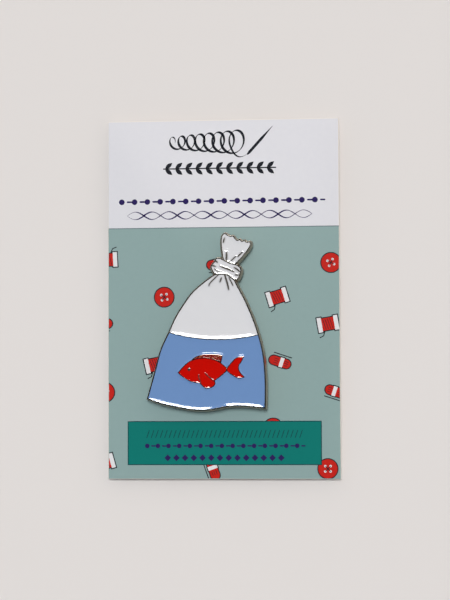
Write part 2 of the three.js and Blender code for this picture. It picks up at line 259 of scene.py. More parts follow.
def signedArea(loop):
    return 0.5 * float(np.sum(crossed(loop, np.roll(loop, -1, axis=0))))


def edgesOf(triangles):
    return {(int(t[k]), int(t[(k + 1) % 3])) for t in triangles for k in range(3)}


def openEdges(edges, *others):
    # the edges that none of the others, or of themselves, meets the other way round
    return [(s, e) for s, e in sorted(edges) if not any((e, s) in known for known in (edges, *others))]


def chained(edges):
    # edges chained into loops of point numbers
    following = {}
    for start, end in edges:
        following.setdefault(start, []).append(end)
    loops = []
    while following:
        loop = [min(following)]
        while True:
            here = loop[-1]
            after = following[here].pop()
            if not following[here]:
                del following[here]
            if after == loop[0]:
                break
            loop.append(after)
        loops.append(loop)
    return loops


def weldedCad(node):
    # a CAD node's points, in millimetres, and its triangles, with doubles merged
    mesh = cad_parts[node].data
    spots = np.zeros(len(mesh.vertices) * 3)
    mesh.vertices.foreach_get("co", spots)
    corners = np.zeros(len(mesh.loops), int)
    mesh.loops.foreach_get("vertex_index", corners)
    points, index = np.unique(np.round(spots.reshape(-1, 3) / mm, 4), axis=0, return_inverse=True)
    return points, index.reshape(-1)[corners].reshape(-1, 3)


def rounded(loop, corner=32, nearest=0.02):
    # a loop with its facets rounded off by a point between each two, and its corners kept,
    # which are sharper than some degrees
    loop = loop[np.linalg.norm(loop - np.roll(loop, 1, axis=0), axis=1) > nearest]
    before, after = np.roll(loop, 1, axis=0), np.roll(loop, -1, axis=0)
    turn = np.arctan2(crossed(loop - before, after - loop), np.sum((loop - before) * (after - loop), axis=1))
    isCorner = np.abs(turn) > math.radians(corner)
    before = np.where(isCorner[:, None], 2 * loop - after, before)
    beyond = np.where(np.roll(isCorner, -1)[:, None], 2 * after - loop, np.roll(loop, -2, axis=0))
    middle = (9 * (loop + after) - before - beyond) / 16
    return np.stack([loop, middle], axis=1).reshape(-1, 2)


def loopsAt(points, triangles, height, sameLevel=0.002):
    # the rounded outlines of the upward faces at one height
    level = triangles[np.all(np.abs(points[triangles][:, :, 2] - height) < sameLevel, axis=1)]
    a, b, c = (points[level[:, k], :2] for k in range(3))
    level = level[crossed(b - a, c - a) > 0]
    return [rounded(points[loop, :2]) for loop in chained(openEdges(edgesOf(level)))]


def distanceTo(points, loops, corners=3):
    # how far each point is from the loops: their nearest corners are looked up first, and
    # then the edges at those corners are measured
    starts = np.concatenate(loops)
    ends = np.concatenate([np.roll(loop, -1, axis=0) for loop in loops])
    lasts = np.cumsum([len(loop) for loop in loops])
    before = np.concatenate([np.roll(part, 1) for part in np.split(np.arange(len(starts)), lasts[:-1])])
    tree = KDTree(len(starts))
    for index, (x, y) in enumerate(starts):
        tree.insert((x, y, 0), index)
    tree.balance()
    near = np.array([[hit[1] for hit in tree.find_n((x, y, 0), corners)] for x, y in points])
    near = np.concatenate([near, before[near]], axis=1)
    along = (ends - starts)[near]
    away = points[:, None, :] - starts[near]
    share = np.sum(away * along, axis=2) / np.maximum(np.sum(along * along, axis=2), 1e-12)
    gap = away - np.clip(share, 0, 1)[..., None] * along
    return np.sqrt(np.min(np.sum(gap * gap, axis=2), axis=1))


def insideOf(points, loops, atOnce=512):
    # whether each point is inside an odd number of the loops
    starts = np.concatenate(loops)
    ends = np.concatenate([np.roll(loop, -1, axis=0) for loop in loops])
    rise = np.where(ends[:, 1] == starts[:, 1], 1e-12, ends[:, 1] - starts[:, 1])
    result = np.empty(len(points), bool)
    for i in range(0, len(points), atOnce):
        x, y = (points[i:i + atOnce, k, None] for k in range(2))
        spans = (starts[:, 1] > y) != (ends[:, 1] > y)
        crossing = starts[:, 0] + (y - starts[:, 1]) * (ends[:, 0] - starts[:, 0]) / rise
        result[i:i + atOnce] = np.sum(spans & (x < crossing), axis=1) % 2 == 1
    return result


def ringsOf(loops, offsets, side, others=(), slack=0.93):
    # points beside the loops at some distances, on their left (1) or right (-1), left out
    # where another edge is nearer
    found = []
    for loop in loops:
        left = leftOf(unit(np.roll(loop, -1, axis=0) - np.roll(loop, 1, axis=0)))
        found += [np.column_stack([loop + side * gap * left, np.full(len(loop), gap)]) for gap in offsets]
    spots = np.concatenate(found)
    return spots[distanceTo(spots[:, :2], [*loops, *others]) > slack * spots[:, 2]][:, :2]


def fillingGrid(loops, step, margin, rowStep=0.87):
    # a staggered grid of points, well clear of the loops
    x0, y0, x1, y1 = boxOf(np.concatenate(loops))
    x, y = np.meshgrid(np.arange(x0, x1, step), np.arange(y0, y1, step * rowStep))
    x[::2] += step / 2
    grid = np.column_stack([x.ravel(), y.ravel()])
    return grid[distanceTo(grid, loops) > margin]


def triangulated(loops, extra):
    # a triangulation that keeps the loops' edges: its points, its triangles, and for each
    # triangle the number of the region that the loops shut it in
    spots = [Vector(p) for p in np.concatenate([*loops, extra])]
    kept = []
    for loop in loops:
        numbers = list(range(len(kept), len(kept) + len(loop)))
        kept += zip(numbers, numbers[1:] + numbers[:1])
    corners, edges, faces, _, origins, _ = delaunay_2d_cdt(spots, kept, [], 0, 1e-5)
    walls = {tuple(sorted(edge)) for edge, origin in zip(edges, origins) if origin}
    sides = [[tuple(sorted((face[k], face[(k + 1) % 3]))) for k in range(3)] for face in faces]
    beside = {}
    for index, threeSides in enumerate(sides):
        for side in threeSides:
            beside.setdefault(side, []).append(index)
    region = [-1] * len(faces)
    for seed in range(len(faces)):
        if region[seed] >= 0:
            continue
        region[seed] = max(region) + 1
        waiting = [seed]
        while waiting:
            for side in sides[waiting.pop()]:
                for other in beside[side] if side not in walls else ():
                    if region[other] < 0:
                        region[other] = region[seed]
                        waiting.append(other)
    return np.array([tuple(p) for p in corners]), np.array([tuple(f) for f in faces]), np.array(region)


def shutIn(flat, triangles, region, loops):
    # whether each triangle's region is inside an odd number of the loops
    corners = flat[triangles]
    area = np.abs(crossed(corners[:, 1] - corners[:, 0], corners[:, 2] - corners[:, 0]))
    largest = [int(np.argmax(np.where(region == number, area, -1))) for number in range(region.max() + 1)]
    return insideOf(corners[largest].mean(axis=1), loops)[region]


def capFaces(loop, shift):
    # flat triangles that close a loop of a point list, which starts at a shift
    return [[shift + i for i in face] for face in tessellate_polygon([[Vector((*p, 0)) for p in loop]])]


def boxOf(points):
    return np.concatenate([points.min(axis=0), points.max(axis=0)])


# The cast plate. Its outlines are read from the CAD node, so it stays where that is.
plateLook = {
    "edge": 0.008,  # radius of the metal lines' edges
    "flatStart": 0.012,  # how far past the edge the flat top is meshed from
    "crown": (0.028, 0.11),  # depth and reach of the slope that polishing left round the fish
    "crownRings": (0.25, 0.5, 0.75),  # shares of that reach
    "footEdge": 0.12,  # radius where the side turns under
    "draft": 8,  # how far the side leans out, in degrees
    "sideRings": (0.02, 0.3, 0.65),  # shares of the drafted side
    "levelStep": 0.04,  # how far the folds lie below the rims
    "root": 0.1,  # how far the folds stand in the cells' floor
}
plateLow, plateHigh = (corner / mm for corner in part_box("base_plate"))
plateTop = plateHigh.z
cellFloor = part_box("water_enamel")[0].z / mm
foldTop = plateTop - plateLook["levelStep"]

plateSolid = weldedCad("base_plate")
rimLoops = loopsAt(*plateSolid, plateTop)
foldLoops = [loop if signedArea(loop) > 0 else loop[::-1] for loop in loopsAt(*plateSolid, foldTop)]
outline = max(rimLoops, key=signedArea)
holes = [loop for loop in rimLoops if signedArea(loop) < 0]
islands = [loop for loop in rimLoops if signedArea(loop) > 0 and loop is not outline]
print(f"stage: outlines read, {len(holes)} cells, {len(islands)} islands, {len(foldLoops)} ridges")

plateFinishes = {
    "polished": darkNickel("polishedBlackNickel", "#7D786F", "#938D82", 0.1, 0.2, 0.0015, 0.4),
    "tumbled": darkNickel("tumbledBlackNickel", "#C2AC9C", "#B6A392", 0.36, 0.48, 0.003, 0.16),
    "back": stippledNickel(),
    "stained": darkNickel("stainedBlackNickel", "#35322F", "#423E38", 0.25, 0.4, 0.003, 0.2),
    # the fish's lines: burnished smoother, and tinted redder than the rest as a painted reflection of the red
    # enamel beside them
    "burnished": darkNickel("burnishedNickelRedReflection", "#7C665C", "#8F776B", 0.08, 0.14, 0.001, 0.4),
}


def edgeRound(distance, radius):
    # how far a rounded edge has dropped at a distance from it
    inner = np.clip(radius - distance, 0, radius)
    return radius - np.sqrt(np.maximum(radius ** 2 - inner ** 2, 0))


def movedOut(loop, distance, sharpest=0.6):
    # a loop grown by a distance, square to its edges
    back = unit(loop - np.roll(loop, 1, axis=0))
    ahead = unit(np.roll(loop, -1, axis=0) - loop)
    along = unit(back + ahead)
    stretch = np.maximum(sharpest, np.sum(along * ahead, axis=1))
    return loop - leftOf(along) * (distance / stretch)[:, None]


def buildPlate(points):
    # metal lines with rounded edges, cell walls and floors, the drafted side and the back:
    # adds its points, and lists its faces and the finish of each
    look = plateLook
    edge, (crown, arch) = look["edge"], look["crown"]
    edgeRings = [0.5 * edge, edge, edge + look["flatStart"]]
    crownRings = [share * arch for share in look["crownRings"]]
    extra = [
        ringsOf(holes, edgeRings, 1, [outline, *islands]),
        ringsOf(islands, [*edgeRings[:2], *crownRings], 1, holes),
        ringsOf([outline], edgeRings, 1, holes),
    ]
    flat, triangles, region = triangulated(rimLoops, np.concatenate(extra))
    metal = shutIn(flat, triangles, region, rimLoops)
    gap = distanceTo(flat, islands)
    drop = edgeRound(np.minimum(gap, distanceTo(flat, [outline, *holes])), edge)
    onFish = insideOf(flat, islands) | (gap < 1e-6)
    drop = np.maximum(drop, np.where(onFish, crown * np.clip(1 - gap / arch, 0, 1) ** 2, 0))
    below = len(flat)
    points += [(*p, plateTop - d) for p, d in zip(flat, drop)]
    points += [(*p, cellFloor) for p in flat]
    floors = triangles[shutIn(flat, triangles, region, [outline]) & ~metal]
    metalEdges, floorEdges = edgesOf(triangles[metal]), edgesOf(floors)
    walls = [[e, s, s + below, e + below] for s, e in sorted(metalEdges) if (e, s) in floorEdges]
    faces = [*triangles[metal], *(floors + below), *walls]
    # the fish's lines take the redder nickel, whose tint is a painted reflection of the red enamel
    finishes = np.where(shutIn(flat, triangles, region, islands)[metal], "burnished", "polished").tolist()
    finishes += ["polished"] * (len(floors) + len(walls))

    ring, = chained(openEdges(metalEdges, floorEdges))
    side = flat[ring]
    depth, foot = plateTop - plateLow.z, look["footEdge"]
    lean = math.tan(math.radians(look["draft"]))
    profile = [(depth * share * lean, depth * share) for share in look["sideRings"]]
    for swing in np.radians((0, 30, 60, 90)):
        profile.append((depth * lean - foot * (1 - math.cos(swing)), depth - foot * (1 - math.sin(swing))))
    for reach, fall in profile:
        low = list(range(len(points), len(points) + len(ring)))
        points += [(*p, plateTop - fall) for p in movedOut(side, reach)]
        faces += band(low, ring)
        ring = low
    back = capFaces([points[i][:2] for i in ring], ring[0])
    finishes += ["tumbled"] * (len(faces) - len(finishes)) + ["back"] * len(back)
    return faces + back, finishes


def buildRidges(points):
    # the folds' ridges and the eye's post, each a closed form sunk in the cell's floor
    look, faces = plateLook, []
    edge = look["edge"]
    edgeRings = [0.5 * edge, edge, edge + look["flatStart"]]
    for loop in foldLoops:
        flat, triangles, region = triangulated([loop], ringsOf([loop], edgeRings, 1))
        triangles = triangles[shutIn(flat, triangles, region, [loop])]
        drop = edgeRound(distanceTo(flat, [loop]), edge)
        top, low = len(points), len(points) + len(flat)
        points += [(*p, foldTop - d) for p, d in zip(flat, drop)]
        points += [(*p, cellFloor - look["root"]) for p in loop]
        faces += [*(triangles + top), *band(range(low, low + len(loop)), range(top, top + len(loop)))]
        faces += [face[::-1] for face in capFaces(loop, low)]
    return faces


points = []
faces, finishes = buildPlate(points)
ridgeFaces = buildRidges(points)
finishes += ["stained"] * len(ridgeFaces)
numbers = [list(plateFinishes).index(finish) for finish in finishes]
castPlate = addPiece("cast_plate", points, faces + ridgeFaces, plateFinishes.values(), numbers)
closed(castPlate, 40)
settle(castPlate, "badge", "dark_plating", "base_plate")
print(f"stage: cast plate, {len(castPlate.data.polygons)} faces")


# The enamels. Each fills its cell from wall to wall, and its surface is the level that
# the wet resin took: flat in the middle and drawn up where it touches metal.
# the last number is how much grey shows beside the folds: enamel thinned over the metal, and painted shade
whiteFill = ("white_enamel", softEnamel("whiteSoftEnamel", "#DFDFE1", "#DBDBDE", 0.5))
redFill = ("red_enamel", softEnamel("redSoftEnamel", "#C90800", "#BE0A00", 0.3))
enamelFills = {
    "bag_enamel": whiteFill,
    "water_enamel": ("blue_enamel", softEnamel("blueSoftEnamel", "#7092C3", "#6D8FC0", 0.0)),
    "fish_body_enamel": redFill,
    "dorsal_fin_enamel": ("glitter_enamel", glitterEnamel()),
    "knot_enamel": whiteFill,
    "ruffle_enamel": whiteFill,
    "fish_tail_enamel": redFill,
}
enamelLook = {
    "lip": 0.03,  # how far below the metal's top the enamel meets it
    "sunk": 0.175,  # how far the enamel sinks below its lip
    "reach": 0.6,  # how far from a wall the enamel still climbs to it
    "bend": (0.27, 0.39),  # where the even slope of the water about the fish starts to end, and ends
    "bendReach": (1.2, 0.08),  # the water's reach on that slope and at its end
    "bendFade": 1.2,  # how far past that end its reach is the usual one again
    "bendRings": [0.26, 0.33, 0.36, 0.44, 0.48],
    "drySpot": (3.55, -5.0, 0.7),  # where the water climbs least, and how far about
    "dryShare": 0.95,  # how much of the climb is missing there
    "fishSunk": 0.02,  # the fish's own cells are filled nearly level
    "fishReach": 0.14,
    "wetSpots": [  # where the fish's enamel climbs the metal, and so glints
        (-5.4, -5.5),
        (-3.4, -8.6),
        (-3.04, -7.4),
        (-1.5, -6.4),
        (0.4, -7.8),
        (-1.15, -9.6),
        (3.65, -6.0),
        (6.4, -7.4),
    ],
    "spotClimb": 0.06,  # how high it climbs there
    "spotSize": 0.32,
    "foldCreepAndShade": 0.13,  # how far from a fold the grey of thinned enamel and painted shade reaches
    "rings": [0.04, 0.09, 0.15, 0.22, 0.3, 0.4, 0.52, 0.66, 0.84, 1.06, 1.35, 1.7, 2.2],
    "gridStep": 0.5,
    "gridMargin": 2.3,
    "bed": 0.002,  # how far the enamel's underside stays off the cell's floor
}


def overlaps(first, second):
    # whether two boxes have some area in common
    return first[0] < second[2] and second[0] < first[2] and first[1] < second[3] and second[1] < first[3]


def wetLevel(flat, triangles, fixed, heights, reach, rounds=400, enough=1e-14):
    # the capillary surface with given heights at its walls, by conjugate gradients
    pairs, weights = [], []
    area = np.zeros(len(flat))
    for k in range(3):
        i, j, o = triangles[:, k], triangles[:, (k + 1) % 3], triangles[:, (k + 2) % 3]
        u, v = flat[i] - flat[o], flat[j] - flat[o]
        twice = np.maximum(np.abs(crossed(u, v)), 1e-9)
        pairs.append(np.stack([i, j], axis=1))
        weights.append(np.clip(np.sum(u * v, axis=1) / twice, 0.001, 30) / 2)
        np.add.at(area, i, twice / 6)
    weights = np.concatenate(weights)
    first, second = np.concatenate(pairs).T
    size = len(flat)
    own = np.bincount(first, weights, size) + np.bincount(second, weights, size) + area / reach ** 2

    def spread(values):
        # how far each free point is from balance
        pulled = np.bincount(first, weights * values[second], size)
        pulled += np.bincount(second, weights * values[first], size)
        return np.where(fixed, 0.0, own * values - pulled)

    answer = np.where(fixed, heights, 0.0)
    left = -spread(answer)
    search = left / own
    score = float(left @ search)
    for _ in range(rounds):
        pushed = spread(search)
        step = score / max(float(search @ pushed), 1e-30)
        answer += step * search
        left -= step * pushed
        ready = left / own
        newScore = float(left @ ready)
        if newScore < enough:
            break
        search = ready + (newScore / score) * search
        score = newScore
    return answer


def buildEnamel(node):
    # a cell's enamel: its points, its faces, and how close to a fold each point is, which sets the grey of
    # thinned enamel and painted shade there
    look = enamelLook
    low, high = (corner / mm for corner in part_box(node))
    cell = min(holes, key=lambda loop: np.abs(boxOf(loop) - [low.x, low.y, high.x, high.y]).max())
    inner = [loop for loop in islands if insideOf(loop[:1], [cell])[0]]
    walls = [cell, *inner]
    ridges = [loop for loop in foldLoops if overlaps(boxOf(loop), boxOf(cell))]
    loops = walls + ridges
    extra = [ringsOf(loops, look["rings"], -1), fillingGrid(loops, look["gridStep"], look["gridMargin"])]
    if inner:
        extra.insert(1, ringsOf(inner, look["bendRings"], -1))
    flat, triangles, region = triangulated(loops, np.concatenate(extra))
    kept = shutIn(flat, triangles, region, walls)
    if ridges:
        kept &= ~shutIn(flat, triangles, region, ridges)
    used, numbers = np.unique(triangles[kept], return_inverse=True)
    flat, triangles = flat[used], numbers.reshape(-1, 3)
    openSides = openEdges(edgesOf(triangles))
    fixed = np.zeros(len(flat), bool)
    fixed[[s for s, _ in openSides]] = True

    ridgeGap = distanceTo(flat, ridges) if ridges else np.full(len(flat), 1e3)
    sunk, reach = look["sunk"], look["reach"]
    heights = np.where(ridgeGap < distanceTo(flat, walls), sunk - plateLook["levelStep"], sunk)
    if inner:
        gap = distanceTo(flat, inner)
        (bendStart, bendEnd), (slope, turn) = look["bend"], look["bendReach"]
        past = np.clip((gap - bendStart) / (bendEnd - bendStart), 0, 1)
        away = np.clip((gap - bendEnd) / look["bendFade"], 0, 1)
        reach = slope + (turn + (reach - turn) * away - slope) * past
        *dry, around = look["drySpot"]
        heights = heights * (1 - look["dryShare"] * np.exp(-(np.hypot(*(flat - dry).T) / around) ** 2))
    if node.startswith(("fish", "dorsal")):
        gap = np.min([np.hypot(*(flat - spot).T) for spot in look["wetSpots"]], axis=0)
        heights = look["fishSunk"] + look["spotClimb"] * np.exp(-(gap / look["spotSize"]) ** 2)
        sunk, reach = look["fishSunk"] + look["spotClimb"], look["fishReach"]
    level = plateTop - look["lip"] - sunk + wetLevel(flat, triangles, fixed, heights, reach)
    under = len(flat)
    points = [*np.column_stack([flat, level]), *((*p, cellFloor + look["bed"]) for p in flat)]
    faces = [*triangles, *(triangles[:, ::-1] + under), *([e, s, s + under, e + under] for s, e in openSides)]
    return points, faces, np.tile(np.exp(-ridgeGap / look["foldCreepAndShade"]), 2)


for node, (slot, material) in enamelFills.items():
    points, faces, foldCreepAndShade = buildEnamel(node)
    enamel = addPiece(node.replace("enamel", "fill"), points, faces, [material])
    # closeness to the folds, which the enamel's grey of thinning and painted shade follows
    enamel.data.attributes.new("foldCreepAndShade", "FLOAT", "POINT").data.foreach_set("value", foldCreepAndShade)
    settle(closed(enamel, 50), "badge", slot, node)
    print(f"stage: {enamel.name}, {len(enamel.data.polygons)} faces")


# The two plated magnets and the glue film: the radius of their edges, and how far the
# waves of a ragged rim go in
magnetLook = {"edge": 0.17, "steps": 7, "sides": 128, "ragged": 0.0}
glueLook = {"edge": 0.045, "steps": 5, "sides": 144, "ragged": 0.22}


def spunDisc(name, body, slot, node, look, material):
    # a disc turned about the magnets' axis, with rounded edges, closed poles and a rim that
    # may be ragged, where it was pressed out
    low, high = (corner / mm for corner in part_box(node))
    centre, radius, half = (low + high) / 2, (high.x - low.x) / 2, (high.z - low.z) / 2
    edge, count = look["edge"], look["sides"]
    section = [(radius * share, -half) for share in (0.3, 0.7, 0.9)]
    for turn in np.linspace(0, math.pi / 2, look["steps"] + 1):
        section.append((radius - edge + edge * math.sin(turn), -half + edge - edge * math.cos(turn)))
    section += [(r, -z) for r, z in reversed(section)]
    turns = [2 * math.pi * k / count for k in range(count)]
    waves = [min(0, sum(math.sin(n * turn + 1.7 * n) / n for n in (3, 5, 8, 13)) / 2 - 1) for turn in turns]
    points, faces = [(centre.x, centre.y, centre.z - half)], []
    rings = []
    for r, z in section:
        rings.append(range(len(points), len(points) + count))
        for turn, wave in zip(turns, waves):
            reach = r + look["ragged"] * wave * (r / radius) ** 4
            points.append(tuple(centre + Vector((reach * math.cos(turn), reach * math.sin(turn), z))))
    points.append((centre.x, centre.y, centre.z + half))
    for lower, upper in zip(rings, rings[1:]):
        faces += band(lower, upper)
    faces += [(0, j, i) for _, i, j, _ in band(rings[0], rings[0])]
    faces += [(i, j, len(points) - 1) for _, i, j, _ in band(rings[-1], rings[-1])]
    settle(closed(addPiece(name, points, faces, [material])), body, slot, node)


magnetFinish = magnetNickel()
spunDisc("badge_disc_magnet", "badge", "magnet_nickel", "badge_magnet", magnetLook, magnetFinish)
spunDisc("loose_disc_magnet", "back_magnet", "magnet_nickel", "loose_magnet", magnetLook, magnetFinish)
spunDisc("glue_film", "badge", "glue", "magnet_glue", glueLook, clearGlue())
print("stage: magnets and glue")


# The display card: coated board, printed on its face and cut on a guillotine
cardLow, cardHigh = (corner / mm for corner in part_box("display_card"))
cardLook = {
    "inkRoom": 0.03,  # the printed layers stand in this, so that they stay under the magnet
    "coats": (0.03, 0.02),  # how thick the back's and the face's coats look on the cut side
    "backGap": 0.004,  # how far the back stays inside the solid's
    "backBevel": 0.03,
    "burr": 0.16,  # the blade's rounding of the upper edges
    "burrTurns": (25, 50, 70, 90),
    "meshing": (12, 18),  # along and up the card
    "header": 25.7,
    "headerLine": 0.2,
    "panel": (4.65, 3.3, 50.55, 13.65),  # from the card's lower left corner
    "panelLine": 0.2,
}
paperTop = cardHigh.z - cardLook["inkRoom"]


def coatedCard():
    # Coated board: a smooth white clay face with the print on it, and paper fibre inside
    material, tree, place = newMaterial("coatedBoard")
    _, y, z = addNode(tree, "ShaderNodeSeparateXYZ", {"Vector": place}).node.outputs
    mottle = grain(tree, place, 1.1, 6.0)
    fibre = grain(tree, place, 0.12, 3.0, (5, 5, 1))
    tints = [
        (mottle, "#8AA2A0", "#8EA6A4"),
        (mottle, "#D8D7DC", "#DCDBDF"),
        (fibre, "#E6DCCF", "#F1E8DC"),
        (mottle, "#DEDBD6", "#D6D3CE"),
    ]
    teal, header, core, back = (
        addNode(tree, "ShaderNodeMix", {0: pattern, 6: first, 7: second}, 2, data_type="RGBA")
        for pattern, first, second in tints
    )
    foot = cardHigh.y - cardLook["header"]

    def layered(colour, layers):
        # each layer covers what is before it, above its own height
        for height, limit, cover in layers:
            covered = addNode(tree, "ShaderNodeMath", {0: height, 1: limit * mm}, operation="GREATER_THAN")
            colour = addNode(tree, "ShaderNodeMix", {0: covered, 6: colour, 7: cover}, 2, data_type="RGBA")
        return colour

    face = layered(teal, [(y, foot, "#6B7C7F"), (y, foot + cardLook["headerLine"], header)])
    backCoat, faceCoat = cardLook["coats"]
    colour = layered(back, [(z, cardLow.z + backCoat, core), (z, paperTop - faceCoat, face)])
    relief = (grain(tree, place, 0.22, 5.0), 0.012, 0.5)
    return finished(material, colour, (mottle, 0.5, 0.62), relief, Specular_IOR_Level=0.12)


def buildCard():
    # a slab in rings: the back, the cut side, and the upper edge rounded by the blade
    burr, bevel = cardLook["burr"], cardLook["backBevel"]
    bottom = cardLow.z + cardLook["backGap"]
    middle = (cardLow.z + paperTop) / 2
    rings = [(bevel, bottom), (0.0, bottom + bevel), (0.0, middle), (0.0, paperTop - burr)]
    for swing in np.radians(cardLook["burrTurns"]):
        rings.append((burr * (1 - math.cos(swing)), paperTop - burr * (1 - math.sin(swing))))
    columns, rows = cardLook["meshing"]
    border = [(i / columns, 0) for i in range(columns)] + [(1, j / rows) for j in range(rows)]
    border += [(1 - u, 1 - v) for u, v in border]
    points, faces = [], []
    for inset, z in rings:
        width, height = (cardHigh - cardLow).xy - Vector((2 * inset, 2 * inset))
        points += [(cardLow.x + inset + u * width, cardLow.y + inset + v * height, z) for u, v in border]
    numbers = np.arange(len(points)).reshape(len(rings), -1).tolist()
    for low, high in zip(numbers, numbers[1:]):
        faces += band(low, high)
    faces += [numbers[0][::-1], numbers[-1]]
    return closed(addPiece("printed_card", points, faces, [coatedCard()]), 35)


settle(buildCard(), "card", "printed_card", "display_card")
print("stage: card")


# What is printed on the card. Each ink is one piece of very thin closed shapes, in
# layers, and a shape that repeats is placed by the tree below.
inkLevels = {"under": 0.004, "over": 0.008, "detail": 0.012, "border": 0.016, "fill": 0.02, "top": 0.026}
inkFoot = -0.008
redInk = printInk("redInk", "#B81A10", "#C4241A")
whiteInk = printInk("opaqueWhiteInk", "#D9D8DA", "#E2E1E2")
darkInk = printInk("darkInk", "#17181F", "#20222A")
navyInk = printInk("navyInk", "#23164F", "#2B1E5A")
panelInk = printInk("greenPanelInk", "#007068", "#04756C")
deepInk = printInk("deepGreenInk", "#0A3A40", "#0E4348")


def boxShape(x0, y0, x1, y1, grown=0.0):
    x0, y0, x1, y1 = x0 - grown, y0 - grown, x1 + grown, y1 + grown
    return [(x0, y0), (x1, y0), (x1, y1), (x0, y1)]


def disc(centre, radius, sides=28):
    turns = (2 * math.pi * i / sides for i in range(sides))
    return [(centre[0] + radius * math.cos(turn), centre[1] + radius * math.sin(turn)) for turn in turns]


def capsule(start, end, width, steps=6):
    # the outline of a straight stroke with round ends
    heading = math.atan2(end[1] - start[1], end[0] - start[0])
    shape = []
    for (x, y), base in ((end, heading - math.pi / 2), (start, heading + math.pi / 2)):
        turns = (base + math.pi * i / steps for i in range(steps + 1))
        shape += [(x + width / 2 * math.cos(turn), y + width / 2 * math.sin(turn)) for turn in turns]
    return shape


def leafShape(root, tip, half):
    # the outline of a leaf, pointed at both ends
    first, last = np.array(root, float), np.array(tip, float)
    along = last - first
    across = np.array([-along[1], along[0]]) / np.linalg.norm(along)
    shares = np.linspace(0, 1, 9)
    right = [first + along * t - across * half * math.sin(math.pi * t) for t in shares]
    return right + [first + along * t + across * half * math.sin(math.pi * t) for t in shares[-2:0:-1]]


def thinShapes(name, layers, materials=(), corner=(0, 0, 0)):
    # a mesh of closed thin shapes, drawn from a corner: each layer is a level's name and
    # its outlines
    points, faces = [], []
    for level, outlines in layers:
        for shape in outlines:
            start, middle = len(points), len(points) + len(shape)
            low, high = range(start, middle), range(middle, middle + len(shape))
            points += [(*p, z) for z in (inkFoot, inkLevels[level]) for p in shape]
            faces += [low[::-1], high, *band(low, high)]
    points = [[c + shift for c, shift in zip(p, corner)] for p in points]
    return closed(addPiece(name, points, faces, materials, smooth=False))


def repeatTree():
    # copies of a shape on a staggered grid, with small seeded shifts and turns
    tree = bpy.data.node_groups.new("printRepeat", "GeometryNodeTree")
    tree.interface.new_socket("Geometry", in_out="OUTPUT", socket_type="NodeSocketGeometry")
    sockets = {
        "Shape": ("Object", None),
        "Columns": ("Int", 4),
        "Rows": ("Int", 1),
        "Column Pitch": ("Float", 0.01),
        "Row Pitch": ("Float", 0.01),
        "Half Drop": ("Float", 0.0),
        "Centre": ("Vector", (0, 0, 0)),
        "Shift": ("Float", 0.0),
        "Turn": ("Float", 0.0),
        "Kind": ("Int", 0),
        "Kinds": ("Int", 1),
        "Seed": ("Int", 1),
        "Ink": ("Material", None),
    }
    for name, (kind, value) in sockets.items():
        socket = tree.interface.new_socket(name, in_out="INPUT", socket_type=f"NodeSocket{kind}")
        if value is not None:
            socket.default_value = value
    given = addNode(tree, "NodeGroupInput", {}).node.outputs

    sizes = []
    for count, pitch in (("Columns", "Column Pitch"), ("Rows", "Row Pitch")):
        gaps = addNode(tree, "ShaderNodeMath", {0: given[count], 1: 1}, operation="SUBTRACT")
        sizes.append(addNode(tree, "ShaderNodeMath", {0: gaps, 1: given[pitch]}, operation="MULTIPLY"))
    gridInputs = {"Size X": sizes[0], "Size Y": sizes[1]}
    gridInputs.update({"Vertices X": given["Columns"], "Vertices Y": given["Rows"]})
    grid = addNode(tree, "GeometryNodeMeshGrid", gridInputs)
    index = addNode(tree, "GeometryNodeInputIndex", {})
    column = addNode(tree, "ShaderNodeMath", {0: index, 1: given["Rows"]}, operation="DIVIDE")
    column = addNode(tree, "ShaderNodeMath", {0: column}, operation="FLOOR")
    odd = addNode(tree, "ShaderNodeMath", {0: column, 1: 2}, operation="MODULO")
    drop = addNode(tree, "ShaderNodeMath", {0: odd, 1: given["Half Drop"]}, operation="MULTIPLY")
    drop = addNode(tree, "ShaderNodeCombineXYZ", {"Y": drop})

    ends = {0: (-1, -1, 0), 1: (1, 1, 0), "Seed": given["Seed"]}
    shift = addNode(tree, "FunctionNodeRandomValue", ends, 0, data_type="FLOAT_VECTOR")
    shift = addNode(tree, "ShaderNodeVectorMath", {0: shift, "Scale": given["Shift"]}, operation="SCALE")
    offset = addNode(tree, "ShaderNodeVectorMath", {0: drop, 1: given["Centre"]})
    offset = addNode(tree, "ShaderNodeVectorMath", {0: offset, 1: shift})
    placed = addNode(tree, "GeometryNodeSetPosition", {"Geometry": grid, "Offset": offset})
    turnSeed = addNode(tree, "ShaderNodeMath", {0: given["Seed"], 1: 7}, operation="ADD")
    turn = addNode(tree, "FunctionNodeRandomValue", {2: -1.0, 3: 1.0, "Seed": turnSeed}, 1, data_type="FLOAT")
    turn = addNode(tree, "ShaderNodeMath", {0: turn, 1: given["Turn"]}, operation="MULTIPLY")
    turn = addNode(tree, "ShaderNodeCombineXYZ", {"Z": turn})
    kind = addNode(tree, "ShaderNodeMath", {0: index, 1: given["Kinds"]}, operation="MODULO")
    chosen = addNode(tree, "ShaderNodeMath", {0: kind, 1: given["Kind"], 2: 0.1}, operation="COMPARE")
    shape = addNode(tree, "GeometryNodeObjectInfo", {"Object": given["Shape"]}, "Geometry")
    copyInputs = {"Points": placed, "Selection": chosen, "Instance": shape, "Rotation": turn}
    copies = addNode(tree, "GeometryNodeInstanceOnPoints", copyInputs)
    real = addNode(tree, "GeometryNodeRealizeInstances", {"Geometry": copies})
    inked = addNode(tree, "GeometryNodeSetMaterial", {"Geometry": real, "Material": given["Ink"]})
    addNode(tree, "NodeGroupOutput", {"Geometry": inked})
    return tree


printRepeat = repeatTree()


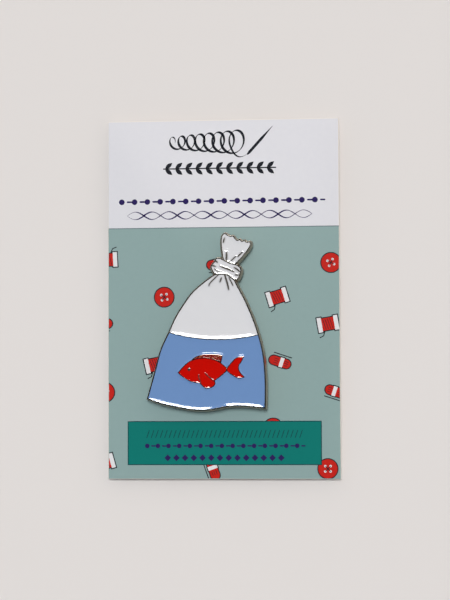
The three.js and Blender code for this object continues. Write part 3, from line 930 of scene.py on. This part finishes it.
def repeated(layers, settings, ink):
    # the tree's result for one shape, as a plain mesh
    shape = thinShapes("shape", layers)
    holder = bpy.data.objects.new("holder", bpy.data.meshes.new("holder"))
    bpy.context.scene.collection.objects.link(holder)
    modifier = holder.modifiers.new("repeat", "NODES")
    modifier.node_group = printRepeat
    values = {"Shape": shape, "Ink": ink, **settings}
    for item in printRepeat.interface.items_tree:
        if item.in_out == "INPUT" and item.name in values:
            modifier[item.identifier] = values[item.name]
    bpy.context.view_layer.update()
    mesh = bpy.data.meshes.new_from_object(holder.evaluated_get(bpy.context.evaluated_depsgraph_get()))
    holder.modifiers.remove(modifier)
    bpy.data.objects.remove(holder)
    bpy.data.objects.remove(shape)
    return mesh


def inkPiece(name, meshes, ink, planes=()):
    # several meshes as one piece on the card, cut off at some planes and closed again
    form = bmesh.new()
    for mesh in meshes:
        form.from_mesh(mesh)
    for spot, outward in planes:
        cut = {"plane_co": Vector(spot) * mm, "plane_no": Vector(outward), "clear_outer": True, "dist": 1e-8}
        bmesh.ops.bisect_plane(form, geom=form.verts[:] + form.edges[:] + form.faces[:], **cut)
        bmesh.ops.holes_fill(form, edges=[edge for edge in form.edges if edge.is_boundary], sides=0)
    bmesh.ops.recalc_face_normals(form, faces=form.faces)
    for face in form.faces:
        face.material_index = 0
    result = bpy.data.meshes.new(name)
    form.to_mesh(result)
    form.free()
    result.materials.clear()
    result.materials.append(ink)
    piece = bpy.data.objects.new(name, result)
    bpy.context.scene.collection.objects.link(piece)
    settle(piece, "card", "printed_card")


# Notions scattered over the field: a thread reel, a four-hole button and a floss skein
motifLook = {
    "line": 0.24,
    "middle": (-1.5, 27.5),  # from the middle of the card's lower edge
    "Columns": 5,
    "Rows": 4,
    "pitch": (13.6, 16.2),
    "shift": 1.3,
    "Turn": math.pi,
    "Seed": 11,
}


def reelMotif(line):
    flanges = [(-1.75, 1.45, 1.75, 2.45), (-1.75, -2.45, 1.75, -1.45)]
    under = [boxShape(*flange, line) for flange in flanges]
    under.append(boxShape(-1.45 - line, -1.6, 1.45 + line, 1.6))
    wraps = [capsule((-1.2, y - 0.2), (1.2, y + 0.2), 0.13, 3) for y in (-0.85, -0.3, 0.25, 0.8)]
    tail = [capsule((1.6, -1.0), (2.6, -1.5), 0.22, 3), capsule((2.6, -1.5), (2.9, -2.4), 0.22, 3)]
    return {
        "dark": [("under", under + tail), ("detail", wraps)],
        "red": [("over", [boxShape(-1.45, -1.45, 1.45, 1.45)])],
        "white": [("over", [boxShape(*flange) for flange in flanges])],
    }


def buttonMotif(line):
    radius, hole = 2.25, 0.62
    holes = [disc((x, y), 0.3, 12) for x in (-hole, hole) for y in (-hole, hole)]
    stitches = [capsule((-hole, -side * hole), (hole, side * hole), 0.2, 3) for side in (1, -1)]
    return {
        "dark": [("under", [disc((0, 0), radius + line, 36)]), ("detail", stitches)],
        "red": [("over", [disc((0, 0), radius, 36)])],
        "white": [("detail", holes)],
    }


def skeinMotif(line):
    ends, width = ((-1.55, 0), (1.55, 0)), 2.1
    wrap = (-0.85, -1.15, 0.05, 1.15)
    strands = [capsule((x, y), (x + 0.9, y), 0.13, 3) for x in (-1.95, 0.5) for y in (-0.5, 0, 0.5)]
    needle = capsule((-2.3, -1.75), (1.9, -1.75), 0.24, 3)
    under = [capsule(*ends, width + 2 * line, 10), boxShape(*wrap, line), needle]
    return {
        "dark": [("under", under), ("detail", strands)],
        "red": [("over", [capsule(*ends, width, 10)])],
        "white": [("detail", [boxShape(*wrap)])],
    }


def printMotifs():
    look = motifLook
    inks = {"dark": darkInk, "red": redInk, "white": whiteInk}
    motifs = [make(look["line"]) for make in (reelMotif, buttonMotif, skeinMotif)]
    centre = ((cardLow.x + cardHigh.x) / 2 + look["middle"][0], cardLow.y + look["middle"][1], paperTop)
    columnPitch, rowPitch = look["pitch"]
    settings = {
        **{name: look[name] for name in ("Columns", "Rows", "Turn", "Seed")},
        "Column Pitch": columnPitch * mm,
        "Row Pitch": rowPitch * mm,
        "Half Drop": -rowPitch / 2 * mm,
        "Centre": tuple(c * mm for c in centre),
        "Shift": look["shift"] * mm,
        "Kinds": len(motifs),
    }
    inset = cardLook["burr"] + 0.01
    planes = [
        ((cardLow.x + inset, 0, 0), (-1, 0, 0)),
        ((cardHigh.x - inset, 0, 0), (1, 0, 0)),
        ((0, cardLow.y + inset, 0), (0, -1, 0)),
        ((0, cardHigh.y - cardLook["header"], 0), (0, 1, 0)),
    ]
    for name, ink in inks.items():
        meshes = [repeated(motif[name], {**settings, "Kind": kind}, ink) for kind, motif in enumerate(motifs)]
        inkPiece(f"motifs_{name}_ink", meshes, ink, planes)


printMotifs()
print("stage: motifs")

# Rows of stitches: the kind, the ink and how many, then where the row's middle lies and it
# starts and ends from the card's lower left corner, and each stitch's size and line width
stitchRows = {
    "header_leaves": ("leaf", darkInk, 11, 73.5, (13.7, 39.7), 2.9, 0.3),
    "header_knots": ("knot", navyInk, 16, 65.7, (3.4, 50.6), 2.0, 0.4),
    "panel_fine_stitches": ("slant", deepInk, 35, 10.6, (9.0, 46.2), 1.7, 0.17),
    "panel_knots": ("knot", navyInk, 15, 7.8, (9.4, 45.8), 1.6, 0.32),
    "panel_lozenges": ("lozenge", navyInk, 14, 5.0, (13.7, 41.5), 1.6, 0.2),
}


def stitchShapes(kind, size, width):
    half = size / 2
    if kind == "leaf":
        # a pair of detached-chain leaves on a stem
        leaves = [leafShape((-0.3 * size, 0), (0.3 * size, side * half), 0.17 * size) for side in (-1, 1)]
        return [capsule((-0.42 * size, 0), (0.42 * size, 0), width, 5), *leaves]
    if kind == "lozenge":
        return [[(-half, 0), (0, -half), (half, 0), (0, half)]]
    if kind == "knot":
        # a French knot, and the stitch that leads on from it
        onward = capsule((0.35 * size, 0), (0.8 * size, 0), width, 5)
        return [disc((-0.35 * size, 0), 0.34 * size, 20), onward]
    return [capsule((-half * 0.35, -half), (half * 0.35, half), width, 5)]


def printStitches():
    for name, (kind, ink, count, y, (left, right), size, width) in stitchRows.items():
        level = "top" if name.startswith("panel") else "over"
        settings = {
            "Columns": count,
            "Column Pitch": (right - left - size * 0.6) / (count - 1) * mm,
            "Centre": ((cardLow.x + (left + right) / 2) * mm, (cardLow.y + y) * mm, paperTop * mm),
        }
        inkPiece(name, [repeated([(level, stitchShapes(kind, size, width))], settings, ink)], ink)


def printPanel():
    corner = (cardLow.x, cardLow.y, paperTop)
    for name, level, ink, grown in (
        ("panel_border_ink", "border", deepInk, 0.0),
        ("panel_ink", "fill", panelInk, -cardLook["panelLine"]),
    ):
        shape = boxShape(*cardLook["panel"], grown)
        settle(thinShapes(name, [(level, [shape])], [ink], corner), "card", "printed_card")


# A thread in loops that grow towards the needle it hangs from, and a twisted cord
threadLook = {
    "start": (15.0, 79.7),  # all from the card's lower left corner
    "length": 16.5,
    "loops": (-0.25, 7.3),  # where in a loop it starts and ends, counted in loops
    "loopSize": (2.2, 2.7),
    "swell": (0.5, 1.05),  # the first and the last loop's share of that size
    "lead": 16,  # how far it runs on from the last loop before it turns to the needle
    "pen": (0.16, 0.62),  # how wide its line is along the nib and across it
}
needleLook = {
    "tip": (39.6, 83.6),
    "eye": (34.0, 77.4),
    "pastEye": 0.12,  # how far its foot is past the eye, as a share of the length to the tip
    "width": 0.66,
    "taper": 2.2,  # how soon it thins to the tip: 1 is along all its length
    "foot": (0.5, 6),  # its share of the width at the foot, and how fast that grows
}
cordLook = {"y": 62.4, "x": (4.6, 48.6), "height": 0.9, "turns": 11, "pen": (0.16, 0.4), "slant": 20}


def penStroke(line, thin, thick, slant=40):
    # a pen's line and how far it reaches to its left, which is more across the nib
    ahead = unit(np.gradient(line, axis=0))
    nib = math.radians(slant)
    across = np.abs(ahead[:, 0] * math.sin(nib) - ahead[:, 1] * math.cos(nib))
    taper = np.sqrt(np.clip(np.sin(np.linspace(0.02, math.pi - 0.02, len(line))) * 3, 0, 1))
    half = (thin + (thick - thin) * across ** 1.5) * taper / 2
    return line, leftOf(ahead) * half[:, None]


def inkStrokes(name, strokes, ink):
    # flat bars along some lines, half as wide as the reach beside each
    points, faces = [], []
    low, high = paperTop + inkFoot, paperTop + inkLevels["over"]
    for line, side in strokes:
        start = len(points)
        for p, s in zip(line + [cardLow.x, cardLow.y], side):
            points += [(*(p + s), high), (*(p - s), high), (*(p - s), low), (*(p + s), low)]
        sections = [range(i, i + 4) for i in range(start, len(points), 4)]
        for before, after in zip(sections, sections[1:]):
            faces += band(before, after)
        faces += [sections[0][::-1], sections[-1]]
    settle(closed(addPiece(name, points, faces, [ink], smooth=False)), "card", "printed_card")


def printNeedle():
    look = threadLook
    share = np.linspace(0, 1, 460)
    turns = 2 * math.pi * (look["loops"][0] + (look["loops"][1] - look["loops"][0]) * share)
    swell = look["swell"][0] + (look["swell"][1] - look["swell"][0]) * share
    x = look["start"][0] + look["length"] * share - look["loopSize"][0] * swell * np.sin(turns)
    y = look["start"][1] + look["loopSize"][1] * swell * np.cos(turns)
    thread = np.stack([x, y], axis=1)
    eye, tip = np.array(needleLook["eye"]), np.array(needleLook["tip"])
    lead = np.linspace(0, 1, 30)[:, None]
    bend = thread[-1] + (thread[-1] - thread[-2]) * look["lead"]
    tail = (1 - lead) ** 2 * thread[-1] + 2 * lead * (1 - lead) * bend + lead ** 2 * eye
    foot = eye + (eye - tip) * needleLook["pastEye"]
    shank = np.linspace(0, 1, 40)[:, None]
    blunt, growth = needleLook["foot"]
    taper = np.minimum(1, (1 - shank) * needleLook["taper"])
    half = needleLook["width"] / 2 * taper * np.minimum(1, blunt + shank * growth)
    strokes = [
        penStroke(np.concatenate([thread, tail[1:]]), *look["pen"]),
        (foot + (tip - foot) * shank, half * leftOf(unit((tip - foot)[None])) + 1e-4),
    ]
    inkStrokes("needle_ornament_ink", strokes, darkInk)


def printCord():
    # two threads that cross
    look = cordLook
    share = np.linspace(0, 1, 420)
    x = look["x"][0] + (look["x"][1] - look["x"][0]) * share
    wave = look["height"] * np.sin(math.pi * look["turns"] * share)
    lines = {side: np.stack([x, look["y"] + side * wave], axis=1) for side in (-1, 1)}
    strokes = [penStroke(line, *look["pen"], look["slant"] * side) for side, line in lines.items()]
    inkStrokes("twisted_cord_ink", strokes, navyInk)


printPanel()
printStitches()
printNeedle()
printCord()
print("stage: print")


# Stage: a pale plain floor, soft light and a camera where the photograph's was
stageLook = {
    "floor": "#DED9D6",
    "floorSize": 6000,
    "cameraDistance": 420,
    "cameraLean": 3.0,  # degrees towards the foot of the card
    "cameraSide": 5.5,  # degrees to the right
    "cameraRoll": -0.235,
    "cameraAim": (0.41, -0.33),  # from the card's middle
    "frameWidth": 106.33,  # what the picture's width takes in at the card
    "skyLow": 0.6,
    "skyHigh": 0.03,
    "plainBand": (0.17, 0.3),  # how high the plain part reaches, as the sine of the height
    "skyCool": (0.66, 1.0, 1.32, 1.0),  # on the left and at the foot
    "skyWarm": (1.187, 0.985, 0.808, 1.0),
    "skyLeans": (0.35, 0.75),  # how much brighter it is to the right and beyond the head
    "skyWarms": (0.35, 0.5),  # how fast it turns warm that way, and how warm it is overhead
    "mainLight": 2.14,  # W per square metre
    "mainFrom": (0.02, 0.2, 0.98),
    "mainSoftness": 18,  # degrees
    "windowLight": 28.0,  # radiance
    "windowDistance": 1200,
    "windowLean": 25.0,  # degrees from straight up, towards the head of the card
    "windowSide": -5.4,
    "windowSize": (285, 470),
}


def buildFloor():
    material, tree, place = newMaterial("paintedBoard")
    clouds = grain(tree, place, 14, 4.0)
    colour = addNode(tree, "ShaderNodeMix", {0: clouds, 6: "#E0DBD8", 7: "#E1DCD9"}, 2, data_type="RGBA")
    finished(material, colour, (clouds, 0.75, 0.85), Specular_IOR_Level=0.2)
    half = stageLook["floorSize"] / 2
    corners = [(*corner, -0.01) for corner in boxShape(-half, -half, half, half)]
    addPiece("floor", corners, [range(4)], [material], smooth=False)


def buildWorld():
    # darker straight above, so that flat metal looks dark from over the card, and as plain
    # and pale as the floor near the horizon, which is all that a camera sees of it
    look = stageLook
    world = bpy.data.worlds.new("softRoom")
    bpy.context.scene.world = world
    world.use_nodes = True
    tree = world.node_tree
    tree.nodes.clear()
    direction = addNode(tree, "ShaderNodeTexCoord", {}, "Generated")
    across, along, up = addNode(tree, "ShaderNodeSeparateXYZ", {"Vector": direction}).node.outputs
    squared = addNode(tree, "ShaderNodeMath", {0: up, 1: up}, operation="MULTIPLY")
    levels = {"Value": squared, "To Min": look["skyLow"], "To Max": look["skyHigh"]}
    level = addNode(tree, "ShaderNodeMapRange", levels)
    side, head = look["skyLeans"]
    lean = addNode(tree, "ShaderNodeMath", {0: across, 1: side, 2: 1.0}, operation="MULTIPLY_ADD")
    lean = addNode(tree, "ShaderNodeMath", {0: along, 1: head, 2: lean}, operation="MULTIPLY_ADD")
    level = addNode(tree, "ShaderNodeMath", {0: level, 1: lean}, operation="MULTIPLY")
    warmth = addNode(tree, "ShaderNodeMath", {0: across, 1: along}, operation="ADD")
    rate, overhead = look["skyWarms"]
    warmth = addNode(tree, "ShaderNodeMath", {0: warmth, 1: rate, 2: overhead}, operation="MULTIPLY_ADD")
    tints = {0: warmth, 6: look["skyCool"], 7: look["skyWarm"]}
    colour = addNode(tree, "ShaderNodeMix", tints, 2, data_type="RGBA")
    light = addNode(tree, "ShaderNodeBackground", {"Color": colour, "Strength": level})
    plain = addNode(tree, "ShaderNodeBackground", {"Color": look["floor"], "Strength": 1.0})
    start, end = look["plainBand"]
    above = addNode(tree, "ShaderNodeMapRange", {0: up, 1: start, 2: end, 3: 0.0, 4: 1.0})
    mixed = addNode(tree, "ShaderNodeMixShader", {0: above, 1: plain, 2: light})
    addNode(tree, "ShaderNodeOutputWorld", {"Surface": mixed})


def addLamp(name, kind, direction, distance, **settings):
    lamp = bpy.data.lights.new(name, kind)
    for key, value in settings.items():
        setattr(lamp, key, value)
    holder = bpy.data.objects.new(name, lamp)
    bpy.context.scene.collection.objects.link(holder)
    heading = Vector(direction).normalized()
    holder.location = heading * distance * mm
    holder.rotation_mode = "QUATERNION"
    holder.rotation_quaternion = heading.to_track_quat("Z", "Y")
    return holder


def buildLamps():
    look = stageLook
    sunlight = {"energy": look["mainLight"], "angle": math.radians(look["mainSoftness"])}
    main = addLamp("mainLight", "SUN", look["mainFrom"], 1000, **sunlight)
    main.visible_glossy = False  # as through crossed polarisers, so it lights without gloss
    lean, side = math.radians(look["windowLean"]), math.radians(look["windowSide"])
    direction = (math.sin(lean) * math.sin(side), math.sin(lean) * math.cos(side), math.cos(lean))
    width, height = (size * mm for size in look["windowSize"])
    shining = {"size": width, "size_y": height, "energy": look["windowLight"] * math.pi * width * height}
    window = addLamp("windowLight", "AREA", direction, look["windowDistance"], shape="RECTANGLE", **shining)
    window.visible_diffuse = False  # it only shines in the gloss


def buildCamera():
    look = stageLook
    middle = (cardLow + cardHigh) / 2
    target = Vector((middle.x + look["cameraAim"][0], middle.y + look["cameraAim"][1], cardHigh.z)) * mm
    lean, side = math.radians(look["cameraLean"]), math.radians(look["cameraSide"])
    heading = Vector((math.tan(side), -math.tan(lean), 1)).normalized()
    lens = bpy.data.cameras.new("camera")
    lens.sensor_fit = "HORIZONTAL"
    lens.sensor_width = 36
    lens.lens = lens.sensor_width * look["cameraDistance"] / look["frameWidth"]
    lens.clip_start = 0.01
    lens.clip_end = 50
    camera = bpy.data.objects.new("camera", lens)
    bpy.context.scene.collection.objects.link(camera)
    bpy.context.scene.camera = camera
    camera.location = target + heading * look["cameraDistance"] * mm
    across = Vector((0, 1, 0)).cross(heading).normalized()
    turn = Matrix((across, heading.cross(across).normalized(), heading)).transposed()
    roll = Matrix.Rotation(math.radians(look["cameraRoll"]), 3, "Z")
    camera.rotation_mode = "QUATERNION"
    camera.rotation_quaternion = (turn @ roll).to_quaternion()


buildFloor()
buildWorld()
buildLamps()
buildCamera()
bpy.context.scene.view_settings.view_transform = "Standard"
print("stage: stage set")
